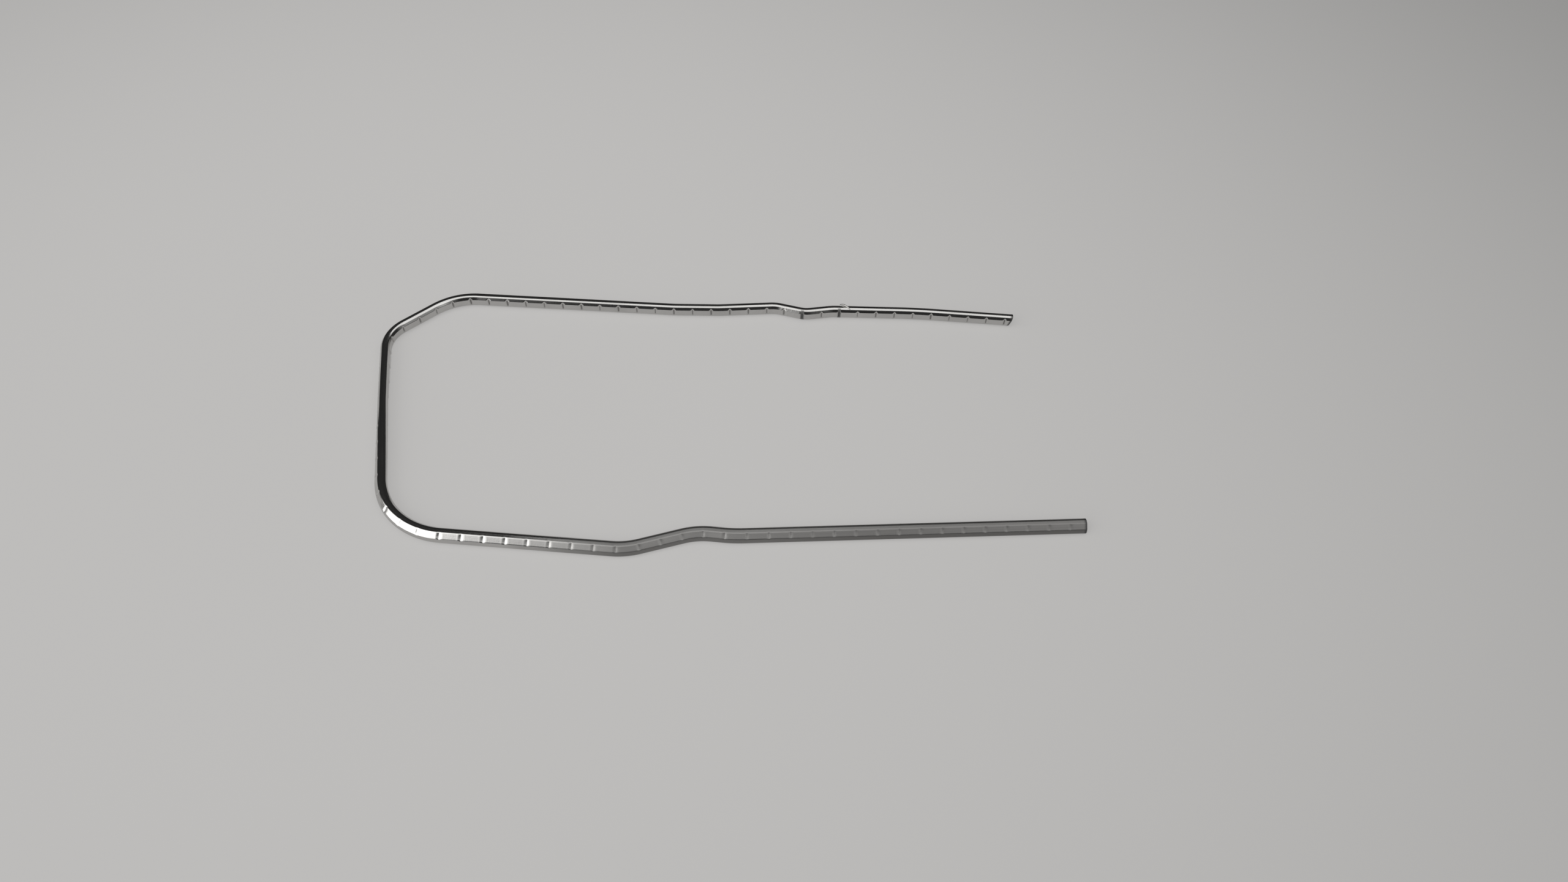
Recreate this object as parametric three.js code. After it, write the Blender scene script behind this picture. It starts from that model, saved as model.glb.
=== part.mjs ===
// Cable needle: a hand tool that holds stitches while a cable is knitted.
// It is one length of bright steel wire, bent into a long U that is open at one end.
// The wire has a rounded rectangular section. Shallow notches are pressed across both of
// its wide faces at an even pitch from tip to tip, and stop the stitches from sliding off.
// Millimetres, +Z up. The U lies flat on the plane z = 0, with its arms along X,
// its crown at -X and its open end at +X.

import * as THREE from "three";

// Wire stock
const WIRE_WIDTH = 1.45; // across, in the plane of the U
const WIRE_HEIGHT = 2.05; // the tall way, so that the notched faces stand upright
const EDGE_RADIUS = 0.48; // the narrow sides stay nearly round
const NARROW_FLAT = 0.2; // the little flat along the middle of each narrow side
const SHOULDER_ANGLE = 58; // degrees from the tall way, where the round ends and the shoulder slopes
const EDGE_STEPS = 3; // facets round each of the four long edges

// Pressed notches
const NOTCH_PITCH = 2.95;
const NOTCH_WIDTH = 0.5; // along the wire
const NOTCH_DEPTH = 0.18; // into each wide face
const FIRST_NOTCH = 1.25; // from the end of the upper arm

// Bend table, from the end of the upper arm round to the end of the lower arm.
// Each row is a corner of the centre line: x, y and the radius that it is bent to.
const BENDS = [
  [46.05, 22.48, 0], // end of the upper arm
  [30.6, 23.18, 100], // slight droop towards the end
  [17.1, 22.91, 8], // kink in the upper arm, where the wire was held
  [12.8, 22.08, 4],
  [8.1, 23.18, 5],
  [-0.9, 22.24, 10],
  [-7.9, 21.99, 20],
  [-42.95, 22.68, 9], // upper corner, in two bends
  [-51.75, 14.08, 5.5],
  [-48.88, 0.56, 60], // slight bow in the crown
  [-43.65, -21.37, 11], // lower corner
  [-10.65, -22.98, 10], // joggle in the lower arm
  [-1.35, -19.88, 10],
  [3.55, -20.23, 20],
  [51.85, -16.53, 0], // end of the lower arm
];
const BEND_STEP = 12; // degrees of bend for each ring of the sweep

// The wire rolls over along the crown and the lower corner, and stays so to its end.
const ROLL_ANGLE = 50; // degrees, with the outer face turned up
const ROLL_FROM = [98, 143]; // distance along the wire where the roll starts and is full
const ROLL_STEP = 1.5;

const BRIGHT_STEEL = new THREE.MeshStandardMaterial({
  color: 0xb9b9b6,
  metalness: 1.0,
  roughness: 0.22,
});

const toRadians = THREE.MathUtils.degToRad;

// The centre line as a path of straight runs and arcs that touch them.
function centreLine() {
  const corners = BENDS.map(([x, y]) => new THREE.Vector2(x, y));
  const line = new THREE.CurvePath();
  let runStart = corners[0];
  for (let i = 1; i < corners.length - 1; i += 1) {
    const back = corners[i - 1].clone().sub(corners[i]).normalize();
    const on = corners[i + 1].clone().sub(corners[i]).normalize();
    const radius = BENDS[i][2];
    const halfAngle = Math.acos(back.dot(on)) / 2;
    const setBack = radius / Math.tan(halfAngle);
    const arcStart = corners[i].clone().addScaledVector(back, setBack);
    const arcEnd = corners[i].clone().addScaledVector(on, setBack);
    const middle = back.clone().add(on).normalize();
    const hub = corners[i].clone().addScaledVector(middle, radius / Math.sin(halfAngle));
    const from = arcStart.clone().sub(hub).angle();
    const to = arcEnd.clone().sub(hub).angle();
    const clockwise = back.cross(on) > 0;
    line.add(new THREE.LineCurve(runStart, arcStart));
    line.add(new THREE.EllipseCurve(hub.x, hub.y, radius, radius, from, to, clockwise));
    runStart = arcEnd;
  }
  line.add(new THREE.LineCurve(runStart, corners[corners.length - 1]));
  return line;
}

// Point and heading of the centre line at a distance along the wire.
function stationFinder(line) {
  const pieces = line.curves;
  const lengths = pieces.map((piece) => {
    if (!piece.isEllipseCurve) return piece.getLength();
    return piece.xRadius * sweptAngle(piece);
  });
  const total = lengths.reduce((sum, length) => sum + length, 0);
  const find = (distance) => {
    let index = 0;
    let left = distance;
    while (index < pieces.length - 1 && left > lengths[index]) {
      left -= lengths[index];
      index += 1;
    }
    const share = Math.min(left / lengths[index], 1);
    return { point: pieces[index].getPoint(share), heading: pieces[index].getTangent(share) };
  };
  return { find, total, pieces, lengths };
}

function sweptAngle(arc) {
  const fullTurn = 2 * Math.PI;
  const turn = arc.aClockwise ? arc.aStartAngle - arc.aEndAngle : arc.aEndAngle - arc.aStartAngle;
  return (turn + fullTurn) % fullTurn;
}

// Distances along the wire that need a ring: both ends, every notch, every bend, the roll.
function ringPlaces(finder) {
  const notchRings = [];
  const halfWidth = NOTCH_WIDTH / 2;
  for (let s = FIRST_NOTCH; s < finder.total - NOTCH_WIDTH; s += NOTCH_PITCH) {
    notchRings.push(s - halfWidth, s, s + halfWidth);
  }
  const others = [];
  let start = 0;
  finder.pieces.forEach((piece, i) => {
    if (piece.isEllipseCurve) {
      const steps = Math.ceil(sweptAngle(piece) / toRadians(BEND_STEP));
      for (let k = 0; k <= steps; k += 1) others.push(start + (finder.lengths[i] * k) / steps);
    }
    start += finder.lengths[i];
  });
  for (let s = ROLL_FROM[0]; s <= ROLL_FROM[1]; s += ROLL_STEP) others.push(s);
  const clearance = NOTCH_WIDTH / 4;
  const isClear = (s) => notchRings.every((ring) => Math.abs(ring - s) > clearance);
  const kept = [];
  others.sort((a, b) => a - b).forEach((s) => {
    const far = kept.length === 0 || s - kept[kept.length - 1] > clearance;
    if (far && isClear(s)) kept.push(s);
  });
  return [0, ...notchRings, ...kept, finder.total].sort((a, b) => a - b);
}

// Depth of the notches at a distance along the wire: a V, full at its middle.
function notchDepth(distance) {
  const nearest = Math.round((distance - FIRST_NOTCH) / NOTCH_PITCH);
  const away = Math.abs(distance - FIRST_NOTCH - nearest * NOTCH_PITCH);
  return nearest < 0 ? 0 : NOTCH_DEPTH * Math.max(0, 1 - away / (NOTCH_WIDTH / 2));
}

function rollAt(distance) {
  return toRadians(ROLL_ANGLE) * THREE.MathUtils.smoothstep(distance, ROLL_FROM[0], ROLL_FROM[1]);
}

// One shoulder of the section, from the edge of the wide face round to the narrow side.
// side is across the wire and up is the tall way; cut is the share of a notch that bites there.
function shoulderPoints() {
  const full = toRadians(SHOULDER_ANGLE);
  const pressedFace = WIRE_WIDTH / 2 - NOTCH_DEPTH;
  const points = [];
  for (let k = EDGE_STEPS; k >= 0; k -= 1) {
    const angle = (full * k) / EDGE_STEPS;
    const side = NARROW_FLAT / 2 + EDGE_RADIUS * Math.sin(angle);
    const up = WIRE_HEIGHT / 2 - EDGE_RADIUS * (1 - Math.cos(angle));
    points.push({ side, up, cut: Math.max(0, side - pressedFace) / NOTCH_DEPTH });
  }
  const slopeWidth = WIRE_WIDTH / 2 - points[0].side;
  const faceEdge = points[0].up - slopeWidth * Math.tan(full);
  return [{ side: WIRE_WIDTH / 2, up: faceEdge, cut: 1 }, ...points];
}

// The whole section, anticlockwise as seen along the wire from behind.
function sectionPoints() {
  const shoulder = shoulderPoints();
  const turned = [...shoulder].reverse();
  const mirror = (points, sideSign, upSign) =>
    points.map(({ side, up, cut }) => ({ side: side * sideSign, up: up * upSign, cut: cut * sideSign }));
  return [
    ...shoulder,
    ...mirror(turned, -1, 1),
    ...mirror(shoulder, -1, -1),
    ...mirror(turned, 1, -1),
  ];
}

// Lowest point of the rolled section, so that the wire keeps its underside on z = 0.
function halfHeight(roll) {
  const hubUp = WIRE_HEIGHT / 2 - EDGE_RADIUS;
  return hubUp * Math.cos(roll) + (NARROW_FLAT / 2) * Math.sin(roll) + EDGE_RADIUS;
}

function wireGeometry() {
  const finder = stationFinder(centreLine());
  const section = sectionPoints();
  const places = ringPlaces(finder);
  const positions = [];
  places.forEach((distance) => {
    const { point, heading } = finder.find(distance);
    const depth = notchDepth(distance);
    const roll = rollAt(distance);
    const inward = new THREE.Vector2(-heading.y, heading.x); // towards the inside of the U
    section.forEach(({ side, up, cut }) => {
      const across = side - cut * depth;
      const sideways = across * Math.cos(roll) + up * Math.sin(roll);
      const height = up * Math.cos(roll) - across * Math.sin(roll) + halfHeight(roll);
      positions.push(point.x + inward.x * sideways, point.y + inward.y * sideways, height);
    });
  });
  const faces = [];
  const count = section.length;
  for (let ring = 0; ring < places.length - 1; ring += 1) {
    for (let k = 0; k < count; k += 1) {
      const a = ring * count + k;
      const b = ring * count + ((k + 1) % count);
      faces.push(a, b, a + count, b, b + count, a + count);
    }
  }
  const lastRing = (places.length - 1) * count;
  for (let k = 1; k < count - 1; k += 1) {
    faces.push(0, k + 1, k);
    faces.push(lastRing, lastRing + k, lastRing + k + 1);
  }
  const geometry = new THREE.BufferGeometry();
  geometry.setAttribute("position", new THREE.Float32BufferAttribute(positions, 3));
  geometry.setIndex(faces);
  geometry.computeVertexNormals();
  return geometry;
}

const needleWire = new THREE.Mesh(wireGeometry(), BRIGHT_STEEL);
needleWire.name = "needle_wire";

const cableNeedle = new THREE.Group();
cableNeedle.add(needleWire);

export default cableNeedle;
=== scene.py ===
# %% [markdown]
# # A cable needle of notched steel wire
# A cable needle holds a few stitches out of the way while a knitter crosses a cable. This one
# is a single length of bright wire, bent by hand into a long U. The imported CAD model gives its
# place and size. This script makes the same wire with all its fine shape, and its finish.

# %% Load the frame
import math

import bpy
from mathutils import Matrix, Vector


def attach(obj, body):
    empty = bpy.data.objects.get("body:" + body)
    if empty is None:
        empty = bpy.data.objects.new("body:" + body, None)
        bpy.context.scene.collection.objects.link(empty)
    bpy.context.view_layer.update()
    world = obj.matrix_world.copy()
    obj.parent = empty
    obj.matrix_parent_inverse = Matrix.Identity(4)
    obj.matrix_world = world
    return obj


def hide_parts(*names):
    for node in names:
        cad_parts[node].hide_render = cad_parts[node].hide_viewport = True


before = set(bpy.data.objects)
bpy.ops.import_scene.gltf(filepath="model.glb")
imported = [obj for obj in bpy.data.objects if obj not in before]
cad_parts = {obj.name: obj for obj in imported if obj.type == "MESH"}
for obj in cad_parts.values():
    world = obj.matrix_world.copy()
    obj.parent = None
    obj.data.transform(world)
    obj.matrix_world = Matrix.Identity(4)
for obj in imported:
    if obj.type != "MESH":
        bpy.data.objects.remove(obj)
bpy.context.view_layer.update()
MM = 0.001

# %% [markdown]
# ## Two small helpers
# Node trees are long to write by hand. `Value` wraps one socket, so that plain Python sums
# become Math nodes. `Graph` adds any other node from its type, its settings and its inputs.

# %% Helper: sums on sockets
class Value:
    """A node's output that can be used in a Python sum."""

    def __init__(self, graph, socket):
        self.graph = graph
        self.socket = socket

    def sum(self, operation, *values):
        settings = {"operation": operation}
        return self.graph.node("ShaderNodeMath", settings, dict(enumerate(values)))[0]

    def __add__(self, other):
        return self.sum("ADD", self, other)

    def __sub__(self, other):
        return self.sum("SUBTRACT", self, other)

    def __rsub__(self, other):
        return self.sum("SUBTRACT", other, self)

    def __mul__(self, other):
        return self.sum("MULTIPLY", self, other)

    def __truediv__(self, other):
        return self.sum("DIVIDE", self, other)

    def __pow__(self, other):
        return self.sum("POWER", self, other)

    def __neg__(self):
        return self.sum("MULTIPLY", self, -1.0)

    def __lt__(self, other):
        return self.sum("LESS_THAN", self, other)

    def __gt__(self, other):
        return self.sum("GREATER_THAN", self, other)

    __radd__ = __add__
    __rmul__ = __mul__

    def __abs__(self):
        return self.sum("ABSOLUTE", self)

    def rounded(self):
        return self.sum("ROUND", self)

    def sin(self):
        return self.sum("SINE", self)

    def cos(self):
        return self.sum("COSINE", self)

    def smallest(self, other):
        return self.sum("MINIMUM", self, other)

    def largest(self, other):
        return self.sum("MAXIMUM", self, other)

    def ramp(self, start, end):
        """0 before start and 1 after end, with a smooth S between them."""
        settings = {"interpolation_type": "SMOOTHSTEP"}
        inputs = {"Value": self, "From Min": start, "From Max": end}
        return self.graph.node("ShaderNodeMapRange", settings, inputs)["Result"]


# %% Helper: any other node
class Outputs:
    """The outputs of one node, found by name or by number."""

    def __init__(self, graph, node):
        self.graph = graph
        self.node = node

    def __getitem__(self, key):
        if isinstance(key, int):
            return Value(self.graph, self.node.outputs[key])
        named = [s for s in self.node.outputs if s.name == key and s.enabled]
        return Value(self.graph, named[0])


class Graph:
    """A node tree that is written one line to a node."""

    def __init__(self, tree):
        self.tree = tree

    def node(self, kind, settings=None, inputs=None):
        node = self.tree.nodes.new(kind)
        for name, value in (settings or {}).items():
            setattr(node, name, value)
        for key, value in (inputs or {}).items():
            self.feed(self.find_input(node, key), value)
        return Outputs(self, node)

    def find_input(self, node, key):
        if isinstance(key, int):
            return node.inputs[key]
        return [s for s in node.inputs if s.name == key and s.enabled][0]

    def feed(self, socket, value):
        if isinstance(value, Value):
            self.tree.links.new(value.socket, socket)
        else:
            socket.default_value = value

    def mix(self, share, low, high):
        """A colour between low and high."""
        ends = {"Factor": share, "A": low, "B": high}
        return self.node("ShaderNodeMix", {"data_type": "RGBA"}, ends)["Result"]


print("Helpers ready:", Value.__name__, Outputs.__name__, Graph.__name__)


# %% [markdown]
# ## The bends
# The centre line is a bend table, as a wire bender would write it: the corners that the straight
# runs would meet at, and the radius that each corner is bent to. It starts at the end of the
# upper arm, goes round the crown, and ends at the end of the lower arm. The table could be
# drawn as a Bezier curve, but straight runs with round corners are what a pair of pliers makes.

# %% Bend table
BENDS = [
    (46.05, 22.48, 0.0),  # end of the upper arm
    (30.6, 23.18, 100.0),  # slight droop towards the end
    (17.1, 22.91, 8.0),  # kink in the upper arm, where the wire was held
    (12.8, 22.08, 4.0),
    (8.1, 23.18, 5.0),
    (-0.9, 22.24, 10.0),
    (-7.9, 21.99, 20.0),
    (-42.95, 22.68, 9.0),  # upper corner, in two bends
    (-51.75, 14.08, 5.5),
    (-48.88, 0.56, 60.0),  # slight bow in the crown
    (-43.65, -21.37, 11.0),  # lower corner
    (-10.65, -22.98, 10.0),  # joggle in the lower arm
    (-1.35, -19.88, 10.0),
    (3.55, -20.23, 20.0),
    (51.85, -16.53, 0.0),  # end of the lower arm
]


def corner_line(name, corners, closed=False):
    """A table of corners as a mesh of edges, with each corner's radius on its vertex."""
    mesh = bpy.data.meshes.new(name)
    count = len(corners)
    edges = [(i, (i + 1) % count) for i in range(count if closed else count - 1)]
    mesh.from_pydata([(x * MM, y * MM, 0.0) for x, y, _ in corners], edges, [])
    radius = mesh.attributes.new("corner_radius", "FLOAT", "POINT")
    radius.data.foreach_set("value", [r * MM for _, _, r in corners])
    line = bpy.data.objects.new(name, mesh)
    bpy.context.scene.collection.objects.link(line)
    return line


def wire_length():
    """Length of the centre line: its straight runs, less each corner, plus each arc."""
    points = [Vector((x, y)) for x, y, _ in BENDS]
    length = sum((b - a).length for a, b in zip(points, points[1:]))
    for before, corner, after, bend in zip(points, points[1:], points[2:], BENDS[1:]):
        turn = (corner - before).angle(after - corner)
        length += bend[2] * (turn - 2 * math.tan(turn / 2))
    return length * MM


WIRE_LENGTH = wire_length()
print("Length of wire in mm:", round(WIRE_LENGTH / MM, 1))

# %% [markdown]
# ## The section of the wire
# The wire is round stock that was rolled flat on two sides and drawn through a die. Its two
# wide faces stand upright. Each narrow side is nearly round, with a very small flat, and runs
# down to the face in a straight shoulder. An oval would do for a distant wire, but here each
# of those zones mirrors a different part of the room as its own bright or dark line. So the
# section is a polygon with each corner rounded to its own radius, like the centre line.

# %% Sizes of the wire, in mm
WIRE_WIDTH = 1.45
WIRE_HEIGHT = 2.05
EDGE_RADIUS = 0.48
NARROW_FLAT = 0.2
FACE_RADIUS = 0.12
SHOULDER_ANGLE = math.radians(58.0)
SIZES = {
    "Wire Width": WIRE_WIDTH,
    "Wire Height": WIRE_HEIGHT,
    "Edge Radius": EDGE_RADIUS,
    "Narrow Flat": NARROW_FLAT,
    "Notch Pitch": 2.95,
    "First Notch": 1.25,
    "Notch Width": 0.5,
    "Notch Depth": 0.18,
    "Lip Height": 0.012,
    "Soft Press From": 90.0,
    "Soft Press Full": 150.0,
    "Roll Starts": 98.0,
    "Roll Full": 143.0,
    "End Bevel": 0.03,
    "End Dish": 0.04,
    "End Slant": 0.6,
}
ROLL_ANGLE = math.radians(50.0)
RINGS_TO_A_NOTCH = 15
POINTS_ROUND = 72
RING_CROWDING = 0.8  # 0 spaces the rings evenly, towards 1 crowds them at the notches
CAP_RINGS = 6
BURR = {  # places on the straight wire: along it, across it and up
    "Start": (27.75, -0.60, 0.92),
    "Start Handle": (27.35, -0.50, 1.26),
    "End Handle": (26.55, -0.15, 1.30),
    "End": (26.0, 0.56, 0.86),
}
BURR_THICKNESS = 0.24


def section_corners():
    """Corners of the section, anticlockwise: a shoulder slopes between each face and side."""
    across = NARROW_FLAT / 2 + EDGE_RADIUS * math.tan(SHOULDER_ANGLE / 2)
    face_edge = WIRE_HEIGHT / 2 - (WIRE_WIDTH / 2 - across) * math.tan(SHOULDER_ANGLE)
    shoulder = [(WIRE_WIDTH / 2, face_edge, FACE_RADIUS), (across, WIRE_HEIGHT / 2, EDGE_RADIUS)]
    left = [(-x, y, r) for x, y, r in reversed(shoulder)]
    below = [(x, -y, r) for x, y, r in reversed(shoulder + left)]
    return shoulder + left + below


print("Section:", len(section_corners()), "corners,", WIRE_WIDTH, "by", WIRE_HEIGHT, "mm")

# %% [markdown]
# ## The wire, notched, rolled and bent
# A modelled notch could be copied along the wire, but the shape follows a rule, so one
# Geometry Nodes tree works out every point. It starts from a straight cylinder. Each ring gets
# a distance along the wire, closer together at the notches, and each point round it gets a
# place on the wire's section. Then the notches, the roll and the bends follow as sums.

# %% The tree's inputs
def new_tree(name, numbers):
    """An empty geometry tree with one named input for each number, and a material."""
    tree = bpy.data.node_groups.new(name, "GeometryNodeTree")
    tree.interface.new_socket("Geometry", in_out="INPUT", socket_type="NodeSocketGeometry")
    for label, value in numbers.items():
        kind = "NodeSocketInt" if isinstance(value, int) else "NodeSocketFloat"
        tree.interface.new_socket(label, in_out="INPUT", socket_type=kind).default_value = value
    tree.interface.new_socket("Section", in_out="INPUT", socket_type="NodeSocketObject")
    tree.interface.new_socket("Material", in_out="INPUT", socket_type="NodeSocketMaterial")
    tree.interface.new_socket("Geometry", in_out="OUTPUT", socket_type="NodeSocketGeometry")
    return Graph(tree)


def group_inputs():
    numbers = {label: size * MM for label, size in SIZES.items()}
    numbers["Roll Angle"] = ROLL_ANGLE
    numbers["Wire Length"] = WIRE_LENGTH
    numbers["Ring Crowding"] = RING_CROWDING
    numbers["Rings"] = round(WIRE_LENGTH / MM / SIZES["Notch Pitch"] * RINGS_TO_A_NOTCH)
    numbers["Points Round"] = POINTS_ROUND
    numbers["Seed"] = 7
    return numbers


print("Tree inputs:", ", ".join(group_inputs()))


# %% The tree's first steps: the curves and the straight tube
def split(g, vector):
    parts = g.node("ShaderNodeSeparateXYZ", {}, {"Vector": vector})
    return parts["X"], parts["Y"], parts["Z"]


def join(g, x, y, z):
    return g.node("ShaderNodeCombineXYZ", {}, {"X": x, "Y": y, "Z": z})["Vector"]


def rounded_curve(g, line, count):
    """A line of corners as a curve, with each corner rounded to its own radius."""
    stored = {"Name": "corner_radius"}
    radius = g.node("GeometryNodeInputNamedAttribute", {"data_type": "FLOAT"}, stored)
    curve = g.node("GeometryNodeMeshToCurve", {}, {"Mesh": line})["Curve"]
    rounding = {"Curve": curve, "Count": count, "Radius": radius["Attribute"]}
    return g.node("GeometryNodeFilletCurve", {"mode": "POLY"}, rounding)["Curve"]


def straight_tube(g, given):
    """A cylinder of the right rings, and each point's share of the length, angle and radius."""
    counts = {
        "Vertices": given["Points Round"],
        "Side Segments": given["Rings"],
        "Fill Segments": CAP_RINGS,
        "Radius": 1.0,
        "Depth": 1.0,
    }
    tube = g.node("GeometryNodeMeshCylinder", {"fill_type": "TRIANGLE_FAN"}, counts)["Mesh"]
    x, y, z = split(g, g.node("GeometryNodeInputPosition")["Position"])
    turn = y.sum("ARCTAN2", y, x) / (2 * math.pi)
    share_round = turn.sum("FRACT", turn + 1.0)
    radius = (x * x + y * y).sum("SQRT", x * x + y * y)
    return tube, z + 0.5, share_round, radius


def ring_distance(g, given, share):
    """Distance along the wire, with the rings crowded together at the notches."""
    full, bevel, pitch = given["Wire Length"], given["End Bevel"], given["Notch Pitch"]
    even = bevel + share * (full - bevel * 2)
    wave = ((even - given["First Notch"]) / pitch * (2 * math.pi)).sin()
    calm = even.ramp(bevel, pitch / 2) * (full - even).ramp(bevel, pitch / 2)
    return even - wave * calm * pitch * given["Ring Crowding"] / (2 * math.pi)


print("Rings to a notch:", RINGS_TO_A_NOTCH, "and points round each:", POINTS_ROUND)

# %% [markdown]
# ## The notches
# A press bit shallow notches across both wide faces at an even pitch, so that stitches don't
# slide off. The inner notches are straight cuts from edge to edge. The outer ones come from a
# die with a round nose, and are oval scoops that stop short of the edges. The die cuts nothing
# where the shoulder is already lower than the die. Some of the metal is pushed up as a faint
# lip along each edge. No two presses are quite as hard, and on the lower arm they are softer.
# A boolean cut for each notch would do it too, but leaves ragged edges. Here the die's depth is
# a sum that pushes the face in, so every ring stays whole.

# %% The tree's steps: the notches
SOFT_PRESS = 0.7  # share of the depth that the softest presses lose
SCOOP_HALF_HEIGHT = 0.66 * MM
NOTCH_ROUNDING = 1.4  # 1 is a V, and 2 is a round groove


def notch_press(g, given, distance):
    """Signed distance to the nearest notch, and how hard that notch was pressed."""
    pitch = given["Notch Pitch"]
    number = ((distance - given["First Notch"]) / pitch).rounded()
    offset = distance - given["First Notch"] - number * pitch
    settings = {"data_type": "FLOAT"}
    inputs = {"Min": 0.82, "Max": 1.12, "ID": number, "Seed": given["Seed"]}
    return offset, g.node("FunctionNodeRandomValue", settings, inputs)["Value"]


def press_notches(g, given, distance, side, up):
    """The section's side coordinate after the die has gone in, and the die's mark there."""
    offset, hardness = notch_press(g, given, distance)
    away = abs(offset)
    softened = distance.ramp(given["Soft Press From"], given["Soft Press Full"])
    hardness = hardness * (1 - softened * SOFT_PRESS)
    reach = given["Notch Width"] / 2
    die = given["Notch Depth"] * hardness * (1 - (away / reach) ** NOTCH_ROUNDING)
    round_nose = (1 - (up / SCOOP_HALF_HEIGHT) ** 2).largest(0.0) * 0.9
    die = die * (1 - (side < 0.0) * (1 - round_nose))
    face = given["Wire Width"] / 2 - die.largest(0.0)
    inside_wire = (distance > given["Notch Width"]) * (given["Wire Length"] - distance > reach)
    face = face + (1 - inside_wire) * given["Notch Depth"] * 2
    pressed = abs(side).smallest(face)
    mark = (abs(side) - pressed) / given["Notch Depth"]
    lip_shape = 1 - abs(away / reach - 1.2) / 0.3
    on_face = 1 - abs(up).ramp(0.45 * MM, 0.75 * MM)
    on_side = abs(side).ramp(0.4 * MM, 0.6 * MM)
    lip = given["Lip Height"] * lip_shape.largest(0.0) * on_face * on_side * inside_wire
    return side.sum("SIGN", side) * (pressed + lip), mark


print("Notches:", int(WIRE_LENGTH / MM / SIZES["Notch Pitch"]), "on each wide face")

# %% [markdown]
# ## The ends and the sliver
# Both ends were cut with pliers: nearly square, with a dull rim, and the upper one a little
# aslant. Beside the kink a sliver of steel was torn up, where the pliers slipped. The ends
# could be capped with flat faces, but a cut has a faint dish and a bevel that catch the light.
# The sliver is a short curve swept with a thin ring, placed on the wire while it is straight,
# so that it goes through the same bends.

# %% The tree's steps: the ends and the sliver
def cut_ends(g, given, share, radius, distance, up):
    """The two cut faces: a small bevel at the rim, a faint dish, and one cut a little aslant."""
    rim = 1 - 1 / CAP_RINGS
    is_cap = radius < 0.999
    inside = (radius / rim).smallest(1.0)
    dish = given["End Dish"] * (1 - inside * inside)
    far = share > 0.5
    near_end = dish
    far_end = given["Wire Length"] - dish
    at_cut = near_end + far * (far_end - near_end)
    shrink = 1 - is_cap * (1 - inside * (1 - given["End Bevel"] / (given["Wire Width"] / 2)))
    placed = distance + is_cap * (at_cut - distance)
    fade = 1 - placed.ramp(0.0, 1.5 * MM)
    slant = given["End Slant"] * (0.5 - up / given["Wire Height"]) * fade
    sheared = 1 - placed.smallest(given["Wire Length"] - placed).ramp(0.24 * MM, 0.42 * MM)
    return placed + slant * (1 - far), shrink, sheared


def burr(g):
    """A sliver of steel that was torn up over the narrow side, on the straight wire."""
    path = {name: Vector(place) * MM for name, place in BURR.items()}
    bow = g.node("GeometryNodeCurvePrimitiveBezierSegment", {}, {"Resolution": 14, **path})["Curve"]
    even = {"Curve": bow, "Count": 14}
    line = g.node("GeometryNodeResampleCurve", {"mode": "COUNT"}, even)["Curve"]
    along = g.node("GeometryNodeSplineParameter")["Factor"]
    thick = (along * (1 - along)) ** 0.5 * (BURR_THICKNESS * MM)
    round_ring = {"Resolution": 8, "Radius": 1.0}
    ring = g.node("GeometryNodeCurvePrimitiveCircle", {"mode": "RADIUS"}, round_ring)["Curve"]
    swept = {"Curve": line, "Profile Curve": ring, "Scale": thick + 0.004 * MM, "Fill Caps": True}
    return g.node("GeometryNodeCurveToMesh", {}, swept)["Mesh"]


print("Sliver from", BURR["End"][0], "to", BURR["Start"][0], "mm along the wire")

# %% [markdown]
# ## The roll and the bends
# The wire was bent by hand. The crown and the lower corner twisted it as they were made, so
# from there on its outer face looks up. A curve with tilt could carry the section, but the
# tilt turns about the section's centre, and the wire has to stay down on the table. So the
# roll is written out, with the height that keeps the lowest point at zero.

# %% The tree's steps: the roll and the bends
def bend_and_roll(g, given, centre, distance, side, up):
    """The point's place once the section is rolled and carried along the centre line."""
    roll = given["Roll Angle"] * distance.ramp(given["Roll Starts"], given["Roll Full"])
    hub_up = given["Wire Height"] / 2 - given["Edge Radius"]
    half_height = hub_up * roll.cos() + given["Narrow Flat"] / 2 * roll.sin() + given["Edge Radius"]
    sideways = side * roll.cos() + up * roll.sin()
    height = up * roll.cos() - side * roll.sin() + half_height
    along = {"Curves": centre, "Length": distance}
    place = g.node("GeometryNodeSampleCurve", {"mode": "LENGTH"}, along)
    x, y, _ = split(g, place["Position"])
    heading_x, heading_y, _ = split(g, place["Tangent"])
    return join(g, x - heading_y * sideways, y + heading_x * sideways, height)


def keep(g, geometry, name, value, kind="FLOAT"):
    """Stores a value on the points, for the finish to read."""
    settings = {"data_type": kind, "domain": "POINT"}
    inputs = {"Geometry": geometry, "Name": name, "Value": value}
    return g.node("GeometryNodeStoreNamedAttribute", settings, inputs)["Geometry"]


print("Roll in degrees:", round(math.degrees(ROLL_ANGLE)))


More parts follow.
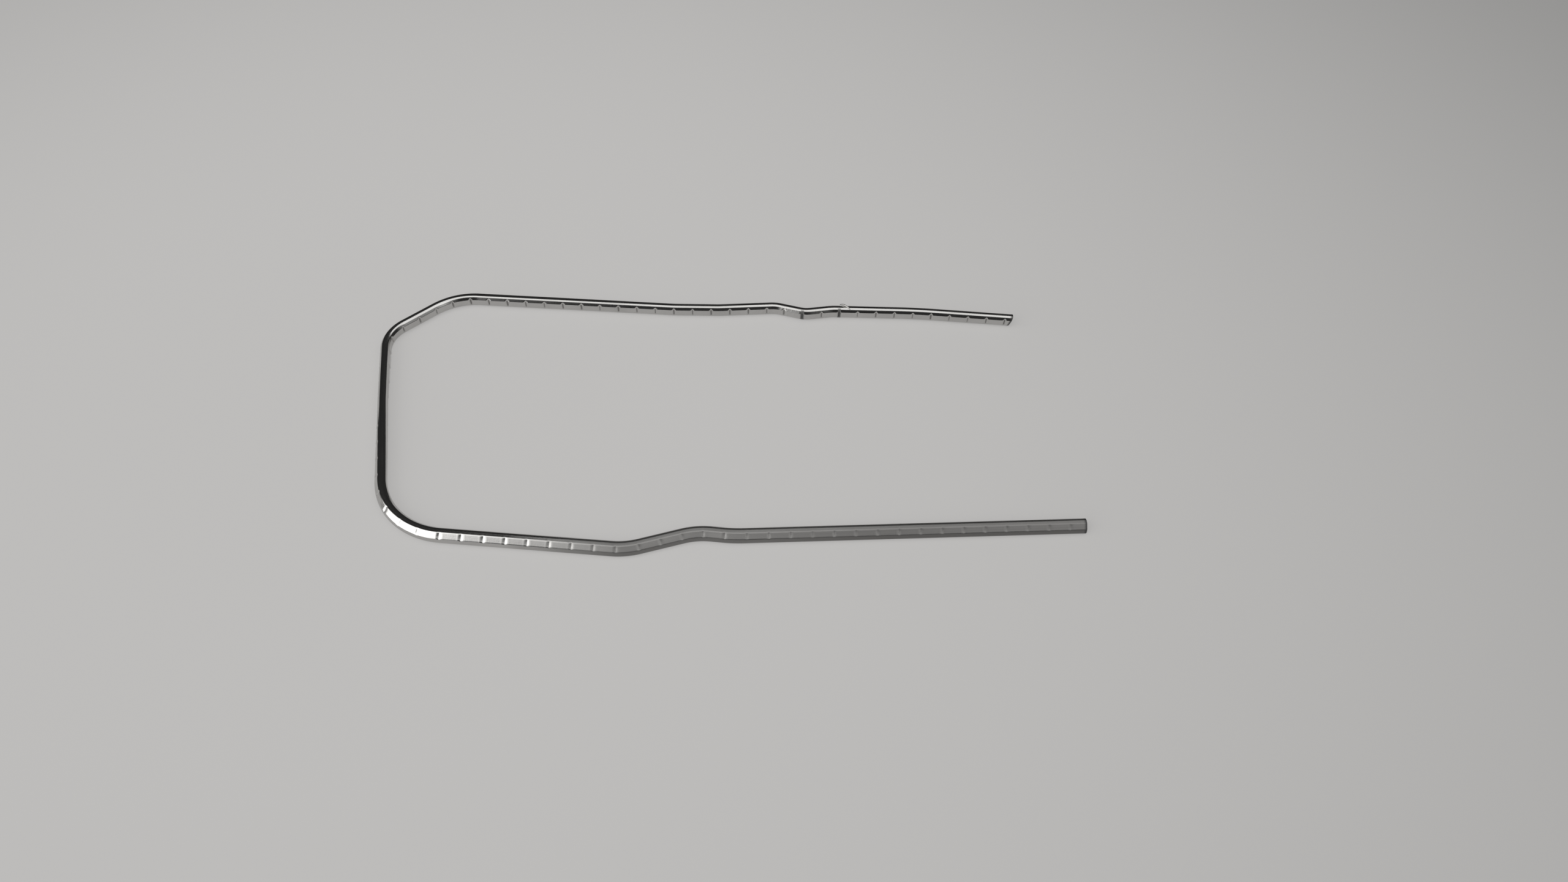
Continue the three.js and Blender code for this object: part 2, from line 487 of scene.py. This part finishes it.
# %% Put the steps together
def notched_wire_tree():
    g = new_tree("notched_wire", group_inputs())
    given = g.node("NodeGroupInput")
    centre = rounded_curve(g, given["Geometry"], 24)
    section = g.node("GeometryNodeObjectInfo", {}, {"Object": given["Section"]})["Geometry"]
    tube, share, share_round, radius = straight_tube(g, given)
    outline = {"Curves": rounded_curve(g, section, 12), "Factor": share_round}
    outline_point = g.node("GeometryNodeSampleCurve", {"mode": "FACTOR"}, outline)["Position"]
    side, up, _ = split(g, outline_point)
    distance = ring_distance(g, given, share)
    pressed, mark = press_notches(g, given, distance, side, up)
    distance, shrink, sheared = cut_ends(g, given, share, radius, distance, up)
    straight = join(g, distance, pressed * shrink, up * shrink)
    marked = keep(g, keep(g, tube, "notch_mark", mark), "sheared", sheared)
    shaped = {"Geometry": marked, "Position": straight}
    wire = g.node("GeometryNodeSetPosition", {}, shaped)["Geometry"]
    pieces = g.node("GeometryNodeJoinGeometry")
    g.tree.links.new(wire.socket, pieces.node.inputs[0])
    g.tree.links.new(burr(g).socket, pieces.node.inputs[0])
    spot = g.node("GeometryNodeInputPosition")["Position"]
    stored = keep(g, pieces["Geometry"], "straight_wire", spot, "FLOAT_VECTOR")
    distance, side, up = split(g, g.node("GeometryNodeInputPosition")["Position"])
    bent = bend_and_roll(g, given, centre, distance, side, up)
    carried = {"Geometry": stored, "Position": bent}
    moved = g.node("GeometryNodeSetPosition", {}, carried)["Geometry"]
    shaded = {"Geometry": moved, "Shade Smooth": True}
    smooth = g.node("GeometryNodeSetShadeSmooth", {}, shaded)["Geometry"]
    real = g.node("GeometryNodeRealizeInstances", {}, {"Geometry": smooth})["Geometry"]
    painted = {"Geometry": real, "Material": given["Material"]}
    done = g.node("GeometryNodeSetMaterial", {}, painted)["Geometry"]
    g.node("NodeGroupOutput", {}, {"Geometry": done})
    return g.tree


wire_tree = notched_wire_tree()
print("Tree:", len(wire_tree.nodes), "nodes")

# %% [markdown]
# ## The finish
# The wire was drawn through a die and plated, so it is bright, with fine lines along it. Pliers
# left crosswise scuffs round the kink, two torn notches and a raw sliver. The bottoms of the
# inner notches are darkened as painted shade, and the cut ends are dull. The lower arm is duller,
# and its colour is darkened as painted shade. All of it is read from the straight wire's own
# coordinates, so that it follows every bend. A painted map would need the wire unwrapped, and would
# blur fine lines.

# %% Where the wire is scuffed, dulled and painted with shade, along it
GRIP_STARTS = (26.5 * MM, 29.0 * MM)
GRIP_ENDS = (41.0 * MM, 44.0 * MM)
TORN_NOTCHES = (27.8 * MM, 33.7 * MM)
# These spans make the lower arm rougher and paint shade on its colour, with deeper painted shade
# towards its end.
SHADED_ARM_FROM = (148.0 * MM, 168.0 * MM)  # the lower arm, which is dull
DEEPER_SHADE_FROM = (184.0 * MM, 205.0 * MM)  # its end, which is darker still
SLIVER_ABOVE = (1.03 * MM, 1.06 * MM)  # only the sliver stands higher than the wire

PLATING = (0.56, 0.555, 0.545, 1)
PLATING_CLOUD = (0.50, 0.495, 0.485, 1)
SCUFF = (0.34, 0.335, 0.325, 1)
# Painted shade: the colour that darkens the bottoms of the inner notches.
NOTCH_SHADE = (0.16, 0.155, 0.15, 1)
RAW_STEEL = (0.24, 0.235, 0.225, 1)
# Painted shade: the darker colour laid over the lower arm.
LOWER_ARM_SHADE = (0.165, 0.162, 0.158, 1)
TORN_STEEL = (0.10, 0.10, 0.10, 1)
# The lower arm's painted shade and dulling start here.
print("Worn from", round(SHADED_ARM_FROM[0] / MM), "mm along the wire")


# %% The marks on the steel
def noise(g, vector, scale, detail):
    inputs = {"Vector": vector, "Scale": scale, "Detail": detail}
    return g.node("ShaderNodeTexNoise", {}, inputs)["Fac"]


def stored_number(g, name):
    return g.node("ShaderNodeAttribute", {"attribute_name": name})["Fac"]


def torn_marks(distance, side, sliver):
    """The inner side of the two notches where the pliers slipped."""
    first, second = [abs(distance - place) for place in TORN_NOTCHES]
    near = first.smallest(second).ramp(0.34 * MM, 0.14 * MM)
    return near * side.ramp(0.2 * MM, 0.4 * MM) * (1 - sliver)


def scuff_marks(g, distance, side, up):
    """Short scratches across the wire: faint everywhere, and strong where it was gripped."""
    crossed = join(g, distance * 7000.0, side * 900.0, up * 900.0)
    gripped = distance.ramp(*GRIP_STARTS) * (1 - distance.ramp(*GRIP_ENDS))
    return noise(g, crossed, 1.0, 2.0).ramp(0.5, 0.7) * (0.06 + gripped * 0.35)


# %% Bright drawn steel
def bright_steel():
    material = bpy.data.materials.new("bright_steel")
    material.use_nodes = True
    material.node_tree.nodes.clear()
    g = Graph(material.node_tree)
    wire = g.node("ShaderNodeAttribute", {"attribute_name": "straight_wire"})["Vector"]
    mark = stored_number(g, "notch_mark")
    sheared = stored_number(g, "sheared")
    distance, side, up = split(g, wire)
    lines = noise(g, join(g, distance * 40.0, side * 9000.0, up * 9000.0), 1.0, 3.0)
    cloud = noise(g, wire, 180.0, 4.0)
    grain = noise(g, wire, 5200.0, 2.0)
    scuffed = scuff_marks(g, distance, side, up)
    # Painted shade and dulling on the lower arm, and deeper painted shade towards its end.
    dull_and_shaded = distance.ramp(*SHADED_ARM_FROM)
    deeper_shade = distance.ramp(*DEEPER_SHADE_FROM)
    pressed = mark.ramp(0.15, 0.9)
    # Painted shade in the bottoms of the inner notches, where a crease would be in shade.
    notch_shade = mark.ramp(0.5, 0.9) * side.ramp(-0.1 * MM, 0.1 * MM)
    scooped = pressed * side.ramp(-0.1 * MM, -0.3 * MM)
    sliver = up.ramp(*SLIVER_ABOVE)
    torn = torn_marks(distance, side, sliver)
    colour = g.mix(cloud.ramp(0.35, 0.75), PLATING, PLATING_CLOUD)
    colour = g.mix(scuffed * 0.35, colour, SCUFF)
    # Painted shade in the inner notches, weaker on the lower arm.
    colour = g.mix(notch_shade * (0.75 - dull_and_shaded * 0.5), colour, NOTCH_SHADE)
    colour = g.mix(sliver * 0.7, colour, RAW_STEEL)
    # Painted shade: the lower arm's colour is darkened.
    colour = g.mix(dull_and_shaded * 0.8 + deeper_shade * 0.12, colour, LOWER_ARM_SHADE)
    colour = g.mix((torn * 0.8).largest(sheared * 0.9), colour, TORN_STEEL)
    rough = 0.11 + lines.ramp(0.35, 0.8) * 0.08 + cloud.ramp(0.4, 0.8) * 0.05
    rough = rough + pressed * 0.18 + scooped * 0.35 + scuffed * 0.10
    rough = rough + dull_and_shaded * 0.26 + sheared * 0.2 + torn * 0.3
    relief = lines * 0.6 + grain * (0.25 + sheared * 0.9) + scuffed * 0.7
    bump = {"Strength": 0.14, "Distance": 0.00005, "Height": relief}
    normal = g.node("ShaderNodeBump", {}, bump)["Normal"]
    finish = {"Base Color": colour, "Metallic": 1.0, "Roughness": rough, "Normal": normal}
    shader = g.node("ShaderNodeBsdfPrincipled", {}, finish)["BSDF"]
    g.node("ShaderNodeOutputMaterial", {}, {"Surface": shader})
    return material


steel = bright_steel()
print("Finish:", len(steel.node_tree.nodes), "nodes")

# %% [markdown]
# ## Making the wire
# The bend table and the section go in as two small lines of corners, and the tree turns them
# into the wire. The result is baked to a plain mesh, which takes the place of the CAD solid.

# %% Make the wire
def set_inputs(modifier, values):
    """A modifier's inputs are set by each socket's identifier, and not by its name."""
    for item in modifier.node_group.interface.items_tree:
        if item.in_out == "INPUT" and item.name in values:
            modifier[item.identifier] = values[item.name]


def make_wire(material):
    start = corner_line("needle_line", BENDS)
    section = corner_line("section_line", section_corners(), closed=True)
    modifier = start.modifiers.new("notched_wire", "NODES")
    modifier.node_group = wire_tree
    set_inputs(modifier, {**group_inputs(), "Section": section, "Material": material})
    graph = bpy.context.evaluated_depsgraph_get()
    mesh = bpy.data.meshes.new_from_object(start.evaluated_get(graph), depsgraph=graph)
    mesh.name = "needle_wire_fine"
    bpy.data.objects.remove(start)
    bpy.data.objects.remove(section)
    wire = bpy.data.objects.new("needle_wire_fine", mesh)
    bpy.context.scene.collection.objects.link(wire)
    return wire


needle = make_wire(steel)
print("Fine wire:", len(needle.data.vertices), "points,", len(needle.data.polygons), "faces")
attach(needle, "root")
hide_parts("needle_wire")

# %% [markdown]
# ## The floor
# A plain pale sheet of opal plastic that glows from below, as a light table does. Most of what
# the eye sees is that glow, so the wire's own shadow stays faint. Its colour and glow are painted
# darker away from the needle, as a painted falloff of light. A flat grey floor lit only from above
# would show a heavy contact shadow.

# %% Floor
def pale_floor():
    """A sheet of opal plastic, lit from below, so that shadows on it are faint."""
    mesh = bpy.data.meshes.new("floor")
    half = 1.5
    corners = [(-half, -half, 0), (half, -half, 0), (half, half, 0), (-half, half, 0)]
    mesh.from_pydata(corners, [], [(0, 1, 2, 3)])
    floor = bpy.data.objects.new("floor", mesh)
    bpy.context.scene.collection.objects.link(floor)
    material = bpy.data.materials.new("pale_floor")
    material.use_nodes = True
    material.node_tree.nodes.clear()
    g = Graph(material.node_tree)
    x, y, _ = split(g, g.node("ShaderNodeTexCoord")["Object"])
    away = ((x + 0.05) ** 2 + y ** 2) ** 0.5
    # Painted falloff of light: the floor's colour and glow darken away from the needle.
    painted_falloff = away.ramp(0.04, 0.34)
    colour = g.mix(painted_falloff, (0.17, 0.168, 0.1655, 1), (0.085, 0.084, 0.083, 1))
    glow = g.mix(painted_falloff, (0.355, 0.35, 0.345, 1), (0.178, 0.176, 0.173, 1))
    sheet = {"Base Color": colour, "Roughness": 0.9, "Emission Color": glow}
    sheet["Emission Strength"] = 1.0
    shader = g.node("ShaderNodeBsdfPrincipled", {}, sheet)["BSDF"]
    g.node("ShaderNodeOutputMaterial", {}, {"Surface": shader})
    mesh.materials.append(material)
    print("Floor:", 2 * half, "m square")


pale_floor()

# %% [markdown]
# ## The light
# A wide soft light overhead, a bright window to the left, and a dark room round them. Bright
# metal shows what is round it: the strip along the arm is the light overhead, the dark lines
# beside it are the room, and the white corner is the window. Lamps would do for the floor, but
# their edges show in the wire, so the room is written as a soft pattern on the sky.

# %% Lights
def soft_room():
    """A wide soft light overhead, a window to the left, and a dark room round them."""
    world = bpy.data.worlds.new("room")
    bpy.context.scene.world = world
    world.use_nodes = True
    world.node_tree.nodes.clear()
    g = Graph(world.node_tree)
    x, y, z = split(g, g.node("ShaderNodeTexCoord")["Generated"])
    far_edge = 0.52 + x.smallest(0.0) * 1.3
    overhead = (far_edge - y).ramp(0.0, 0.1) * (y + 0.8).ramp(0.0, 0.18)
    overhead = overhead * (0.9 - abs(x)).ramp(0.0, 0.3) * z.ramp(0.25, 0.5)
    window = (-0.26 - x).ramp(0.0, 0.34) * z.ramp(0.0, 0.15) * (0.2 - y).ramp(0.0, 0.3)
    near_right = (x - 0.2).ramp(0.0, 0.4) * (-y).ramp(0.0, 0.4) * z.ramp(0.0, 0.3)
    light = 0.03 + overhead * 1.24 + window * 2.1 + near_right * 0.25
    sky = {"Color": (1.0, 0.995, 0.985, 1), "Strength": light}
    background = g.node("ShaderNodeBackground", {}, sky)["Background"]
    g.node("ShaderNodeOutputWorld", {}, {"Surface": background})
    print("Light:", len(world.node_tree.nodes), "nodes")


soft_room()
bpy.context.scene.view_settings.view_transform = "Standard"

# %% [markdown]
# ## The camera
# It looks down on the needle from the front at about 52 degrees, from close by, with the far
# arm at the top. A long lens from further off would flatten the difference between the arms.

# %% Camera
CAMERA_AIM = Vector((10.06, -2.97, 0.0)) * MM
CAMERA_DISTANCE = 151.8 * MM
CAMERA_AZIMUTH = math.radians(-1.0)
CAMERA_ELEVATION = math.radians(52.1)
CAMERA_ROLL = math.radians(2.9)


def add_camera():
    data = bpy.data.cameras.new("camera")
    data.lens = 23.9
    data.sensor_width = 36.0
    data.clip_start = 0.005
    camera = bpy.data.objects.new("camera", data)
    bpy.context.scene.collection.objects.link(camera)
    level = math.cos(CAMERA_ELEVATION)
    side = math.sin(CAMERA_AZIMUTH) * level
    front = -math.cos(CAMERA_AZIMUTH) * level
    back = Vector((side, front, math.sin(CAMERA_ELEVATION)))
    turn = (-back).to_track_quat("-Z", "Y").to_matrix() @ Matrix.Rotation(CAMERA_ROLL, 3, "Z")
    camera.location = CAMERA_AIM + back * CAMERA_DISTANCE
    camera.rotation_mode = "QUATERNION"
    camera.rotation_quaternion = turn.to_quaternion()
    bpy.context.scene.camera = camera
    print("Camera:", round(camera.location.z / MM), "mm above the floor")


add_camera()
